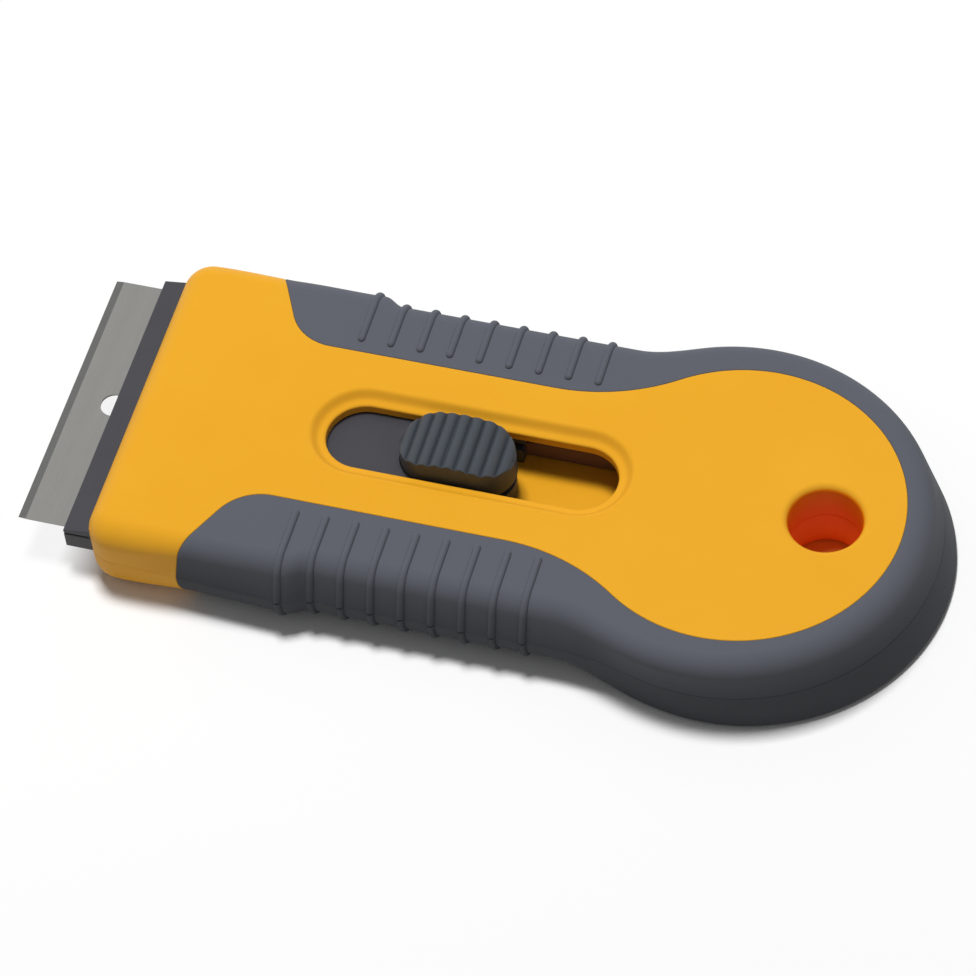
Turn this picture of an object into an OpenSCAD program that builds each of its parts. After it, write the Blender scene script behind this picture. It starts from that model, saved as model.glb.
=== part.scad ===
// Retractable razor blade scraper: two moulded shells with soft grips around a blade slide.
// X runs from the blade to the tail, Y across the blade and Z up from the underside.
// Inside the modules x counts from the mouth of the handle, and placed() sets the origin.

/* [Blade] */
// Width of the blade along its cutting edge
blade_w = 38.5; // [35:0.5:42]
// Depth of the blade from its edge to its back
blade_l = 19; // [17:0.5:21]
// Thickness of the blade
blade_t = 0.25; // [0.2:0.05:0.4]
// Width of the ground bevel
bevel_l = 1; // [0.8:0.1:2]
// How far the edge stands out of the jaw
blade_out = 6.3; // [5:0.1:8]
// Diameter of the hole in the blade
blade_hole_d = 3.4; // [2.5:0.1:4]
// Distance from the edge to the middle of the hole
blade_hole_x = 6.1; // [5:0.1:8]

/* [Slide] */
// Margin of the jaw beside each end of the blade
jaw_side = 1.05; // [0.8:0.05:2]
// How far the jaw stands out of the mouth
jaw_out = 3.3; // [2.5:0.1:4]
// Thickness of the jaw under the blade
jaw_t = 2.5; // [2:0.1:3]
// Length of the heel behind the back of the blade
heel_l = 2.6; // [2.4:0.1:3.5]
// Thickness of the clamp plate
clamp_t = 1.3; // [1:0.1:1.6]
// Thickness of the clamp plate at its nose
clamp_nose_t = 0.5; // [0.4:0.05:0.8]
// Length of the slope behind the nose of the clamp plate
clamp_slope_l = 5; // [3:0.1:7]
// Diameter of the studs that hold the clamp plate
stud_d = 1.6; // [1.2:0.1:1.8]
// Distance between the clamp studs
stud_span = 28; // [20:0.5:32]
// Width of each rear leg of the slide beside the button's pocket
leg_side_w = 1.9; // [1.5:0.1:2.4]
// Width of the gap between the rear legs
leg_gap_w = 12.6; // [11:0.1:13.4]
// How far the legs reach past the rear end of the slot
leg_tail_l = 1; // [0:0.1:2]
// Travel of the slide out of the mouth, to change the blade
travel_out = 9.3; // [6:0.1:10]
// Travel of the slide into the handle, to hide the blade
travel_in = 12.8; // [11:0.1:13]

/* [Button] */
// Length of the thumb button along the slot
knob_l = 14.8; // [12:0.1:16]
// Width of the thumb button
knob_w = 8.4; // [7.5:0.1:9.5]
// Clearance beside the button in the slot
knob_side_gap = 0.55; // [0.3:0.05:0.8]
// Distance from the mouth to the front of the button
knob_x = 34.7; // [34:0.1:36]
// Height of the button's crown above the handle
knob_rise = 1.7; // [1.2:0.1:3]
// Drop of the crown from its middle to its ends
crown_drop = 1.7; // [1:0.1:1.9]
// Distance between the thumb ridges
ridge_pitch = 1.62; // [1.2:0.02:2]
// Radius of the grooves between the ridges
groove_r = 0.62; // [0.4:0.02:0.75]
// Depth of the grooves between the ridges
groove_t = 0.45; // [0.2:0.05:0.5]
// Thickness of the flange that keeps the button in
flange_t = 1; // [0.8:0.05:1.1]
// Overlap of the flange under each side of the slot
flange_lap = 2.6; // [2.2:0.1:3]
// Travel of the button when it is pressed
press_travel = 1; // [0.6:0.05:1]
// Thickness of the bow spring's strip
spring_t = 0.25; // [0.15:0.05:0.3]
// Width of the bow spring's strip
spring_w = 5; // [3:0.1:7]
// Length of the bow spring
spring_l = 11; // [9:0.1:12]

/* [Handle] */
// Length of the handle's top from the mouth to the tail
handle_l = 101.1; // [100:0.1:104]
// Thickness of the floor under the slide
floor_t = 3.5; // [3:0.1:4.5]
// Thickness of the roof above the slide
roof_t = 2.3; // [2:0.1:3]
// Height of the joint between the two shells
split_z = 5.5; // [5:0.1:6]
// Thickness of the side walls beside the mouth
side_wall = 2.1; // [1.8:0.1:3]
// How far each side swells out ahead of the finger recess
shoulder_out = 1.05; // [0.5:0.05:1.5]
// How far each side of the finger recess lies inside the front
waist_in = 0.1; // [0:0.1:0.4]
// Distance from the mouth to the finger recess
recess_x = 27.5; // [27.2:0.1:28.2]
// Length over which the side eases into the finger recess
ease_l = 2.6; // [1.5:0.1:2.8]
// How far the round tail swells past each side of the waist
tail_out = 2.35; // [1.8:0.05:3.6]
// How far the tail leans out behind its top, at its foot
tail_slope = 2.95; // [1:0.05:4]
// Draft of the tail's sides from its top to its foot
tail_draft = 0.7; // [0.2:0.05:1.2]
// Radius of the hollow sweep from the waist to the tail
flare_r = 34; // [28:0.5:40]
// Rounding of the long edges along the grips
edge_r = 5; // [4:0.1:5.2]
// Rounding of the upper edge beside the front of the grips
side_edge_r = 3.8; // [3.2:0.1:4.4]
// Rounding of the edges at the front
front_edge_r = 3.2; // [2.5:0.1:3.3]
// Rounding of the upper edge round the tail
tail_edge_r = 3; // [2:0.1:3.2]
// Rounding of the lower edge round the tail
tail_foot_r = 1; // [0.6:0.1:2]
// Rounding of the front corners, seen from above
corner_r = 3.8; // [3.6:0.1:5]
// Wall between the mouth face and the slide's chamber
lip_wall = 2; // [1.5:0.1:2.5]

/* [Slot and hanging hole] */
// Width of the sunk ledge around the slot
slot_ledge_w = 1.2; // [0.6:0.1:1.6]
// Width of the slope from the ledge up to the top
slot_slope_w = 0.9; // [0.4:0.1:1.2]
// Depth of the sunk ledge around the slot
slot_ledge_drop = 1; // [0.5:0.1:1.3]
// Diameter of the hanging hole
hole_d = 9.2; // [7:0.1:11]
// Chamfer at the ends of the hanging hole
hole_lip = 0.4; // [0.2:0.05:0.8]
// Distance from the tail to the middle of the hanging hole
hole_tail_x = 12.4; // [12:0.1:14]
// Wall around the hanging hole
hole_wall = 2.2; // [1.5:0.1:3]

/* [Grips] */
// Thickness of the soft grips above and below
grip_t = 1.6; // [1.2:0.1:2]
// Thickness of the soft grips at the sides
grip_side_t = 2.2; // [1.8:0.1:2.4]
// Width of the hard neck between the grips
neck_w = 23.9; // [20:0.1:26]
// Width of the grip's rim beside the tail
rim_w = 4.45; // [4.2:0.05:6]
// How far the middle of the hard round lies behind the tail's middle
bulb_back = 1.7; // [0:0.1:1.8]
// Radius of the hollow sweep from the neck to the tail
neck_flare_r = 25.7; // [18:0.5:32]
// Distance from the mouth to where the grips run straight
grip_x = 21.9; // [20:0.1:23]
// Rounding of the grips' front corners
grip_corner_r = 6.6; // [4:0.1:8]
// Lean of the grips' front edges
grip_lean = 27; // [15:1:35]
// Number of ribs on each side
rib_count = 9; // [5:1:9]
// Distance between the ribs
rib_pitch = 3.86; // [3:0.02:4]
// Distance from the mouth to the first rib
rib_x = 25.5; // [25.2:0.1:25.9]
// Width of each rib
rib_w = 1; // [0.6:0.05:1.4]
// Height of each rib
rib_h = 0.55; // [0.3:0.05:0.8]
// Distance between the inner ends of the ribs
rib_span = 27.8; // [25:0.1:32]

/* [Screws] */
// Diameter of the screw heads
head_d = 4.4; // [3.6:0.1:4.6]
// Thickness of the screw heads
head_t = 1.3; // [1:0.1:1.5]
// Depth of the holes that hide the screw heads
head_sink = 1.6; // [1.5:0.1:2]
// Diameter of the screw shanks
shank_d = 2; // [1.6:0.1:2.2]
// Length of the screw shanks
shank_l = 6; // [5:0.1:6.3]
// Diameter of the screw bosses
boss_d = 5.4; // [5:0.1:5.6]
// Place of the front screws ahead of the tail's middle, as a share of the hard round's radius
front_screw_share = 0.587; // [0.5:0.001:0.6]
// Place of the rear screws behind the tail's middle, as a share of the hard round's radius
rear_screw_share = 0.25; // [0.15:0.01:0.3]
// Place of the screws beside the middle line, as a share of the hard round's radius
side_screw_share = 0.6; // [0.59:0.005:0.64]
// Diameter of the locating pegs between the shells
peg_d = 3; // [2:0.1:3.4]
// Length of the locating pegs
peg_l = 2.2; // [1.5:0.1:2.5]
// Distance between the locating pegs
peg_span = 30; // [28:0.5:31]

/* [Fits] */
// Clearance around the slide
slide_gap = 0.2; // [0.15:0.05:0.3]
// Clearance around the thumb button
knob_gap = 0.25; // [0.2:0.05:0.35]
// Clearance of seated pieces
seat_gap = 0.05; // [0.02:0.01:0.1]

/* [Hidden] */
$fn = 72;
// Steps along the corners, the ease into the waist, the sweeps, the tail and the rounded edges
corner_steps = 6;
ease_steps = 4;
sweep_steps = 8;
tail_steps = 18;
edge_steps = 4;
// How far the rounded edges run on past the flat faces, as a share of their last step
past_share = 1 / 4;

// Overrun of every cut past the face it opens
over = edge_r;

// Heights, from the underside up
jaw_z = floor_t + slide_gap;
seat_z = jaw_z + jaw_t;
clamp_z = seat_z + blade_t;
clamp_top_z = clamp_z + clamp_t;
flange_z = seat_z + spring_t + press_travel + seat_gap;
deck_z = flange_z + flange_t;
roof_z = deck_z + slide_gap;
handle_t = roof_z + roof_t;

// Widths
jaw_w = blade_w + 2 * jaw_side;
mouth_w = jaw_w + 2 * slide_gap;
front_w = mouth_w + 2 * side_wall;
shoulder_w = front_w + 2 * shoulder_out;
waist_w = front_w - 2 * waist_in;
slot_w = knob_w + 2 * knob_side_gap;
flange_w = slot_w + 2 * flange_lap;
pocket_w = flange_w + 2 * knob_gap;
slide_w = pocket_w + 2 * leg_side_w;
chamber_w = slide_w + 2 * slide_gap;
tail_r = waist_w / 2 + tail_out;
bulb_r = tail_r - rim_w;
hole_boss_r = hole_d / 2 + hole_wall;
well_r = bulb_r - grip_t - roof_t / 2;

// Lengths from the mouth
edge_x = -jaw_out - blade_out;
back_x = edge_x + blade_l;
jaw_end_x = back_x + heel_l;
deck_x = max(jaw_end_x + seat_gap, lip_wall + travel_out + knob_gap);
chamber_x = jaw_end_x + travel_in + knob_gap;
slot_x0 = knob_x - travel_out - knob_gap;
slot_x1 = knob_x + knob_l + travel_in + knob_gap;
leg_x = slot_x1 + leg_tail_l;
neck_x = leg_x + travel_in + knob_gap;
hole_x = handle_l - hole_tail_x;
tail_x = handle_l - tail_r;
bulb_x = tail_x + bulb_back;
foot_x = handle_l + (tail_slope + tail_draft) * (1 - tail_foot_r / handle_t);

// Button and spring
crown_z = handle_t + knob_rise;
crown_r = (pow(knob_l / 2, 2) + pow(crown_drop, 2)) / (2 * crown_drop);
knob_mid_x = knob_x + knob_l / 2;
ridge_reach = floor((knob_l / 2 - groove_r) / ridge_pitch);
bow_r = (pow(spring_l / 2, 2) + pow(press_travel, 2)) / (2 * press_travel);

// Screws and pegs
screw_xs = [bulb_x - front_screw_share * bulb_r, bulb_x + rear_screw_share * bulb_r];
screw_y = side_screw_share * bulb_r;
peg_x = chamber_x + side_wall + peg_d;
driver_w = shank_d / 3;

// Sweep centres: a hollow arc touches a straight side and the round tail
function sweep_dx(round_r, reach, hollow_r) =
    sqrt(pow(round_r + hollow_r, 2) - pow(reach + hollow_r, 2));
flare_dx = sweep_dx(tail_r, waist_w / 2, flare_r);
flare_x = tail_x - flare_dx;
flare_y = waist_w / 2 + flare_r;
flare_angle = atan2(flare_dx, flare_y);

function arc(x, y, r, from, to, steps) =
    [for (i = [0:steps]) let (a = from + (to - from) * i / steps) [x + r * cos(a), y + r * sin(a)]];

function mirrored(p) = [p.x, -p.y];

function flipped(points) = [for (i = [len(points) - 1:-1:0]) mirrored(points[i])];

// Edge of the hard top against the grip, from the front of the far side to the tail
function hard_edge() =
    let (
        neck_y = neck_w / 2,
        corner_y = neck_y + grip_corner_r,
        lead_y = shoulder_w - corner_y,
        sweep_x = bulb_x - sweep_dx(bulb_r, neck_y, neck_flare_r),
        sweep_y = neck_y + neck_flare_r,
        turn = atan2(bulb_x - sweep_x, sweep_y),
        corner = arc(grip_x, corner_y, grip_corner_r, 180 + grip_lean, 270, corner_steps)
    )
    concat(
        [corner[0] + lead_y * [-tan(grip_lean), 1]],
        corner,
        arc(sweep_x, sweep_y, neck_flare_r, 270, 270 + turn, sweep_steps),
        arc(bulb_x, 0, bulb_r, 90 + turn, 0, tail_steps)
    );

module placed() {
    translate([(jaw_out + blade_out - foot_x) / 2, 0, 0]) children();
}

// Block between two corners
module block(low, high) {
    translate(low) cube(high - low);
}

// Pulls a shape drawn in Y and Z along X
module along_x(from, to) {
    translate([from, 0, 0]) rotate([90, 0, 90]) linear_extrude(to - from) children();
}

module both_sides() {
    children();
    mirror([0, 1, 0]) children();
}

// Half of the handle's width ahead of the sweep: it swells to the shoulder and eases into the waist
function side_y(x) =
    x < recess_x - ease_l / 2 ? front_w / 2 + shoulder_out * x / (recess_x - ease_l / 2)
    : x > recess_x + ease_l / 2 ? waist_w / 2
    : waist_w / 2 + (shoulder_w - waist_w) / 4 * (1 + cos(180 * ((x - recess_x) / ease_l + 1 / 2)));

// Share of the tail's lean at x: none along the waist, and all of it from the tail's middle on
function lean_share(x) =
    let (t = min(max((x - flare_x) / flare_dx, 0), 1)) t * t * (3 - 2 * t);

// One place on the outline, with its outward normal and the roundings of its upper and lower edges
function rim(place, normal, top_r, low_r) = [place, normal, top_r, low_r, lean_share(place.x)];

// Outline of one side from the tail forward
function far_outline() = concat(
    [for (i = [0:tail_steps]) let (a = (90 + flare_angle) * i / tail_steps, n = [cos(a), sin(a)])
        rim([tail_x, 0] + tail_r * n, n, tail_edge_r, tail_foot_r)],
    [for (i = [1:sweep_steps]) let (t = i / sweep_steps, a = flare_angle * (1 - t), n = [-sin(a), cos(a)])
        rim([flare_x, flare_y] - flare_r * n, n, tail_edge_r + (edge_r - tail_edge_r) * t,
            tail_foot_r + (edge_r - tail_foot_r) * t)],
    [for (i = [ease_steps:-1:0]) let (x = recess_x + ease_l * (i / ease_steps - 1 / 2))
        rim([x, side_y(x)], [0, 1], edge_r, edge_r)],
    let (x = grip_x - grip_corner_r) [rim([x, side_y(x)], [0, 1], side_edge_r, edge_r)],
    [rim([corner_r, side_y(corner_r)], [0, 1], front_edge_r, front_edge_r)],
    [for (i = [1:corner_steps]) let (a = 90 + 90 * i / corner_steps, n = [cos(a), sin(a)])
        rim([corner_r, side_y(0) - corner_r] + corner_r * n, n, front_edge_r, front_edge_r)]
);

function near_outline(side) =
    [for (i = [len(side) - 1:-1:1])
        [mirrored(side[i][0]), mirrored(side[i][1]), side[i][2], side[i][3], side[i][4]]];

// Point on the rim o, set in from the outline at height z, where the tail leans out towards its foot
function rim_point(o, inset, z) =
    let (lean = o[4] * (1 - z / handle_t), p = o[0] + (lean * tail_draft - inset) * o[1])
    [p.x + lean * tail_slope, p.y, z];

// Closed skin over rings of points, from the lowest ring up
module loft(rings) {
    count = len(rings[0]);
    last = len(rings) - 1;
    points = [for (ring = rings, p = ring) p];
    walls = [for (k = [0:last - 1], i = [0:count - 1]) let (j = (i + 1) % count)
        [k * count + i, (k + 1) * count + i, (k + 1) * count + j, k * count + j]];
    bottom = [for (i = [0:count - 1]) i];
    top = [for (i = [count - 1:-1:0]) last * count + i];
    polyhedron(points, concat(walls, [bottom, top]));
}

// Outer form of the handle: rings of the outline round its edges, and the flat faces cut off the
// first and last rings, which run on past them
module form() {
    side = far_outline();
    outline = concat(side, near_outline(side));
    step = 90 / edge_steps;
    past = edge_r * (1 - cos(step)) * past_share;
    run = past / tan(step / 2);
    low = concat(
        [[for (o = outline) rim_point(o, o[3] + run, -past)]],
        [for (k = [1:edge_steps]) let (a = 90 - k * step)
            [for (o = outline) rim_point(o, o[3] * (1 - cos(a)), o[3] * (1 - sin(a)))]]
    );
    high = concat(
        [for (k = [edge_steps:-1:1]) let (a = 90 - k * step)
            [for (o = outline) rim_point(o, o[2] * (1 - cos(a)), handle_t - o[2] * (1 - sin(a)))]],
        [[for (o = outline) rim_point(o, o[2] + run, handle_t + past)]]
    );
    intersection() {
        loft(concat(low, high));
        block([-over, -handle_l, 0], [foot_x + over, handle_l, handle_t]);
    }
}

// Plan of the handle shrunk by the given rim
module core_plan(rim) {
    side = [for (o = far_outline()) o[0] - rim * o[1]];
    polygon(concat(side, flipped(side)));
}

// Hard core under the grips
module grip_seat() {
    translate([0, 0, grip_t]) linear_extrude(handle_t - 2 * grip_t) core_plan(grip_side_t);
}

module hard_prism() {
    edge = hard_edge();
    translate([0, 0, -over]) linear_extrude(handle_t + 2 * over)
        polygon(concat([[-over, edge[0].y]], edge, flipped(edge), [[-over, -edge[0].y]]));
}

// Half of the handle above or below the joint between the shells
module half_space(upper) {
    low = upper ? split_z : -over;
    high = upper ? handle_t + over : split_z;
    block([-2 * over, -handle_l, low], [foot_x + over, handle_l, high]);
}

module at_screws() {
    for (x = screw_xs, s = [-1, 1]) translate([x, s * screw_y, 0]) children();
}

module at_pegs() {
    for (s = [-1, 1]) translate([peg_x, s * peg_span / 2, 0]) children();
}

// Room inside the shells for the slide, and the well that lightens the tail
module chamber() {
    mouth_top_z = clamp_top_z + knob_gap;
    block([-over, -mouth_w / 2, floor_t], [lip_wall + over, mouth_w / 2, mouth_top_z]);
    block([lip_wall, -mouth_w / 2, floor_t], [chamber_x, mouth_w / 2, roof_z]);
    block([lip_wall, -chamber_w / 2, floor_t], [neck_x, chamber_w / 2, roof_z]);
    difference() {
        translate([bulb_x, 0, floor_t]) cylinder(r = well_r, h = roof_z - floor_t);
        translate([hole_x, 0, 0]) cylinder(r = hole_boss_r, h = handle_t);
        at_screws() cylinder(d = boss_d, h = handle_t);
    }
}

// Straight slot with round ends, and a sunk ledge with a slope around it
module slot_cut() {
    r = slot_w / 2;
    ledge_r = r + slot_ledge_w;
    ledge_z = handle_t - slot_ledge_drop;
    top_r = ledge_r + 2 * slot_slope_w;
    steps = [[r, split_z], [r, ledge_z], [ledge_r, ledge_z], [top_r, handle_t + slot_ledge_drop]];
    loft([for (s = steps) [for (p = slot_ring(s[0])) [p.x, p.y, s[1]]]]);
}

function slot_ring(r) = concat(
    arc(slot_x1 - slot_w / 2, 0, r, -90, 90, tail_steps),
    arc(slot_x0 + slot_w / 2, 0, r, 90, 270, tail_steps)
);

module hole_cut() {
    r = hole_d / 2;
    rim_r = r + hole_lip;
    translate([hole_x, 0, 0]) rotate_extrude()
        polygon([[0, -over], [rim_r, -over], [rim_r, 0], [r, hole_lip], [r, handle_t - hole_lip],
                 [rim_r, handle_t], [rim_r, handle_t + over], [0, handle_t + over]]);
}

// Hard part of one half, seated under its grip
module hard_half(upper) {
    intersection() {
        union() {
            intersection() {
                form();
                hard_prism();
            }
            grip_seat();
        }
        half_space(upper);
    }
}

module upper_shell() {
    color("goldenrod") placed() {
        difference() {
            hard_half(true);
            chamber();
            slot_cut();
            hole_cut();
            at_screws() cylinder(d = shank_d + 2 * seat_gap, h = head_sink + shank_l + seat_gap);
        }
        at_pegs() translate([0, 0, split_z - peg_l]) cylinder(d = peg_d, h = 2 * peg_l);
    }
}

module lower_shell() {
    color("goldenrod") placed() difference() {
        hard_half(false);
        chamber();
        hole_cut();
        at_screws() {
            translate([0, 0, -over]) cylinder(d = head_d + 2 * knob_gap, h = over + head_sink);
            cylinder(d = shank_d + 2 * knob_gap, h = handle_t);
        }
        at_pegs() translate([0, 0, split_z - peg_l - knob_gap])
            cylinder(d = peg_d + 2 * seat_gap, h = 2 * peg_l);
    }
}

// Rib that wraps the side of the handle at the given reach
module rib(x, reach, r) {
    along_x(x - rib_w / 2, x + rib_w / 2) intersection() {
        difference() {
            translate([0, -rib_h]) rib_section(reach + rib_h, r + rib_h, handle_t + 2 * rib_h);
            translate([0, rib_h]) rib_section(reach - rib_h, r - rib_h, handle_t - 2 * rib_h);
        }
        translate([rib_span / 2, rib_h]) square([reach, handle_t]);
    }
}

module rib_section(reach, r, height) {
    square([reach - r, height]);
    translate([0, r]) square([reach, height - 2 * r]);
    for (z = [r, height - r]) translate([reach - r, z]) circle(r);
}

module ribs() {
    both_sides() {
        rib(rib_x, side_y(rib_x), edge_r);
        for (i = [1:rib_count - 1]) rib(rib_x + i * rib_pitch, waist_w / 2, edge_r);
    }
}

module soft_half(upper) {
    color("dimgray") placed() intersection() {
        union() {
            difference() {
                form();
                grip_seat();
                hard_prism();
            }
            ribs();
        }
        half_space(upper);
    }
}

module upper_grip() {
    soft_half(true);
}

module lower_grip() {
    soft_half(false);
}

module blade_carrier() {
    pocket_x0 = knob_x - knob_gap;
    pocket_x1 = knob_x + knob_l + knob_gap;
    gap_x = pocket_x1 - leg_side_w / 2;
    color("#48474c") placed() {
        difference() {
            union() {
                block([-jaw_out, -jaw_w / 2, jaw_z], [jaw_end_x, jaw_w / 2, seat_z]);
                block([back_x + seat_gap, -jaw_w / 2, jaw_z], [jaw_end_x, jaw_w / 2, clamp_z]);
                both_sides() block([0, blade_w / 2 + seat_gap, jaw_z], [jaw_end_x, jaw_w / 2, clamp_z]);
                block([jaw_end_x - heel_l / 2, -slide_w / 2, jaw_z], [leg_x, slide_w / 2, clamp_z]);
                block([deck_x, -slide_w / 2, jaw_z], [leg_x, slide_w / 2, deck_z]);
            }
            block([pocket_x0, -pocket_w / 2, seat_z], [pocket_x1, pocket_w / 2, deck_z + over]);
            block([gap_x, -leg_gap_w / 2, 0], [leg_x + over, leg_gap_w / 2, handle_t]);
        }
        at_studs() cylinder(d = stud_d, h = clamp_top_z - jaw_z);
    }
}

module at_studs() {
    for (s = [-1, 1]) translate([back_x + heel_l / 2, s * stud_span / 2, jaw_z]) children();
}

module blade_clamp() {
    nose_z = clamp_z + clamp_nose_t;
    color("#56575c") placed() difference() {
        rotate([90, 0, 0]) linear_extrude(jaw_w, center = true)
            polygon([[-jaw_out, clamp_z], [jaw_end_x, clamp_z], [jaw_end_x, clamp_top_z],
                     [clamp_slope_l - jaw_out, clamp_top_z], [-jaw_out, nose_z]]);
        at_studs() cylinder(d = stud_d + 2 * seat_gap, h = handle_t);
    }
}

module razor_blade() {
    color("silver") placed() difference() {
        rotate([90, 0, 0]) linear_extrude(blade_w, center = true)
            polygon([[edge_x, seat_z + blade_t / 2], [edge_x + bevel_l, seat_z], [back_x, seat_z],
                     [back_x, clamp_z], [edge_x + bevel_l, clamp_z]]);
        translate([edge_x + blade_hole_x, 0, 0]) cylinder(d = blade_hole_d, h = handle_t);
    }
}

// Upright bar with round ends
module pill(length, width, height) {
    r = width / 2;
    translate([r, -r, 0]) cube([length - width, width, height]);
    for (x = [r, length - r]) translate([x, 0, 0]) cylinder(r = r, h = height);
}

module thumb_button() {
    color("#474c52") placed() {
        difference() {
            intersection() {
                translate([knob_x, 0, flange_z]) pill(knob_l, knob_w, crown_z - flange_z);
                translate([knob_mid_x, 0, crown_z - crown_r]) rotate([90, 0, 0])
                    cylinder(r = crown_r, h = 2 * knob_w, center = true);
            }
            for (i = [-ridge_reach:ridge_reach]) {
                dx = i * ridge_pitch;
                dz = sqrt(pow(crown_r, 2) - pow(dx, 2)) - crown_r;
                translate([knob_mid_x + dx, 0, crown_z + dz + groove_r - groove_t]) rotate([90, 0, 0])
                    cylinder(r = groove_r, h = 2 * knob_w, center = true);
            }
        }
        block([knob_x + knob_gap, -flange_w / 2, flange_z],
              [knob_x + knob_l - knob_gap, flange_w / 2, flange_z + flange_t]);
    }
}

module button_spring() {
    color("silver") placed() translate([knob_mid_x, 0, seat_z]) rotate([90, 0, 0])
        linear_extrude(spring_w, center = true) intersection() {
            translate([0, press_travel - bow_r]) difference() {
                circle(bow_r + spring_t);
                circle(bow_r);
            }
            translate([-spring_l, 0]) square([2 * spring_l, handle_t]);
        }
}

module shell_screws() {
    color("silver") placed() at_screws() difference() {
        union() {
            translate([0, 0, head_sink - head_t]) cylinder(d = head_d, h = head_t);
            translate([0, 0, head_sink]) cylinder(d = shank_d, h = shank_l);
        }
        for (a = [0, 90]) rotate(a) translate([-head_d / 3, -driver_w / 2, 0])
            cube([head_d * 2 / 3, driver_w, head_sink - head_t / 2]);
    }
}

upper_shell();
lower_shell();
upper_grip();
lower_grip();
blade_carrier();
blade_clamp();
razor_blade();
thumb_button();
button_spring();
shell_screws();
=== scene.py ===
import math

import bmesh
import bpy
import numpy as np
from mathutils import Matrix, Vector
from mathutils.geometry import delaunay_2d_cdt


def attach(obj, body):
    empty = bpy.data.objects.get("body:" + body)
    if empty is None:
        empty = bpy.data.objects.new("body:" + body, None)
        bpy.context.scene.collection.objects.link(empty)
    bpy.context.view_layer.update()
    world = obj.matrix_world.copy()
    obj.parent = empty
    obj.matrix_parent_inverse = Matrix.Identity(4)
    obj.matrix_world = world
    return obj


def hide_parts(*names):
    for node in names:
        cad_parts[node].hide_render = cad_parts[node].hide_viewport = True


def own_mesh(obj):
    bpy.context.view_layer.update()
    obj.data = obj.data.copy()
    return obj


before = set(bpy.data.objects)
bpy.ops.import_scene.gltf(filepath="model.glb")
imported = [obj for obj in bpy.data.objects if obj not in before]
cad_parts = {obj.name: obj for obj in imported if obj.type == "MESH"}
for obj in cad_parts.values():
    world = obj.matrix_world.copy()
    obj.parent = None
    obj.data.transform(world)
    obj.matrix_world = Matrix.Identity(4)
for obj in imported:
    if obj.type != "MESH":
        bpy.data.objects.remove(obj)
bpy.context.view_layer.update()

scene = bpy.context.scene
mm = 0.001
mouthX = -47.409  # where the mouth of the handle lies along X, in mm; pieces below count x from it
mergeGap, flatGap = 0.002, 1e-5  # points of a piece, or of a flat face, closer than this become one, in mm
tiny = 1e-7  # what counts as level, in metres


# Small mesh helpers

def toFrame(p):
    return Vector(((p[0] + mouthX) * mm, p[1] * mm, p[2] * mm))


def addGrid(bm, rows, closed=False, mat=0):
    verts = [[bm.verts.new(toFrame(p)) for p in row] for row in rows]
    for a, b in zip(verts, verts[1:]):
        count = len(a) if closed else len(a) - 1
        for i in range(count):
            j = (i + 1) % len(a)
            bm.faces.new((a[i], a[j], b[j], b[i])).material_index = mat


def addFace(bm, points):
    bm.faces.new([bm.verts.new(toFrame(p)) for p in points])


def insideLoop(x, y, loop):
    hit = False
    for (x0, y0), (x1, y1) in zip(loop, loop[1:] + loop[:1]):
        if (y0 > y) != (y1 > y) and x < x0 + (y - y0) * (x1 - x0) / (y1 - y0):
            hit = not hit
    return hit


def fillFlat(bm, loops, z, mat=0):
    # flat face at height z between loops, with the inner ones as holes
    points, edges = [], []
    for loop in loops:
        first = len(points)
        points += [Vector((p[0], p[1])) for p in loop]
        edges += [(first + i, first + (i + 1) % len(loop)) for i in range(len(loop))]
    flat, _, faces, *_ = delaunay_2d_cdt(points, edges, [], 0, flatGap)
    plain = [[(p[0], p[1]) for p in loop] for loop in loops]
    verts = [bm.verts.new(toFrame((p.x, p.y, z))) for p in flat]
    for face in faces:
        cx = sum(flat[i].x for i in face) / len(face)
        cy = sum(flat[i].y for i in face) / len(face)
        if sum(insideLoop(cx, cy, loop) for loop in plain) % 2:
            bm.faces.new([verts[i] for i in face]).material_index = mat


def mergeAndFace(bm, upZ=None):
    # upZ gives the height of a flat face and the way it looks, up or down
    bmesh.ops.remove_doubles(bm, verts=bm.verts, dist=mergeGap * mm)
    bmesh.ops.delete(bm, geom=[v for v in bm.verts if not v.link_faces], context="VERTS")
    bmesh.ops.recalc_face_normals(bm, faces=bm.faces)
    if upZ is not None:
        bm.normal_update()
        level = [f for f in bm.faces if all(abs(v.co.z - upZ[0] * mm) < tiny for v in f.verts)]
        if sum(f.normal.z * f.calc_area() for f in level) * upZ[1] < 0:
            bmesh.ops.reverse_faces(bm, faces=bm.faces)


def bakeObject(obj):
    bpy.context.view_layer.update()
    graph = bpy.context.evaluated_depsgraph_get()
    final = obj.evaluated_get(graph)
    mesh = bpy.data.meshes.new_from_object(final, preserve_all_data_layers=True, depsgraph=graph)
    bpy.data.objects.remove(obj)
    return mesh


def bmMesh(bm, name):
    mesh = bpy.data.meshes.new(name)
    bm.to_mesh(mesh)
    bm.free()
    return mesh


def newObject(name, data):
    obj = bpy.data.objects.new(name, data)
    scene.collection.objects.link(obj)
    return obj


def bmObject(bm, name):
    return newObject(name, bmMesh(bm, name))


def thickened(bm, name, wall):
    obj = bmObject(bm, name)
    solid = obj.modifiers.new("wall", "SOLIDIFY")
    solid.thickness = wall * mm
    solid.offset = -1
    solid.use_even_offset = False
    return bakeObject(obj)


def rounded(bm, name, width, segments=3, angle=40):
    obj = bmObject(bm, name)
    bevel = obj.modifiers.new("edges", "BEVEL")
    bevel.width = width * mm
    bevel.segments = segments
    bevel.limit_method = "ANGLE"
    bevel.angle_limit = math.radians(angle)
    bevel.use_clamp_overlap = True
    return bakeObject(obj)


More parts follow.
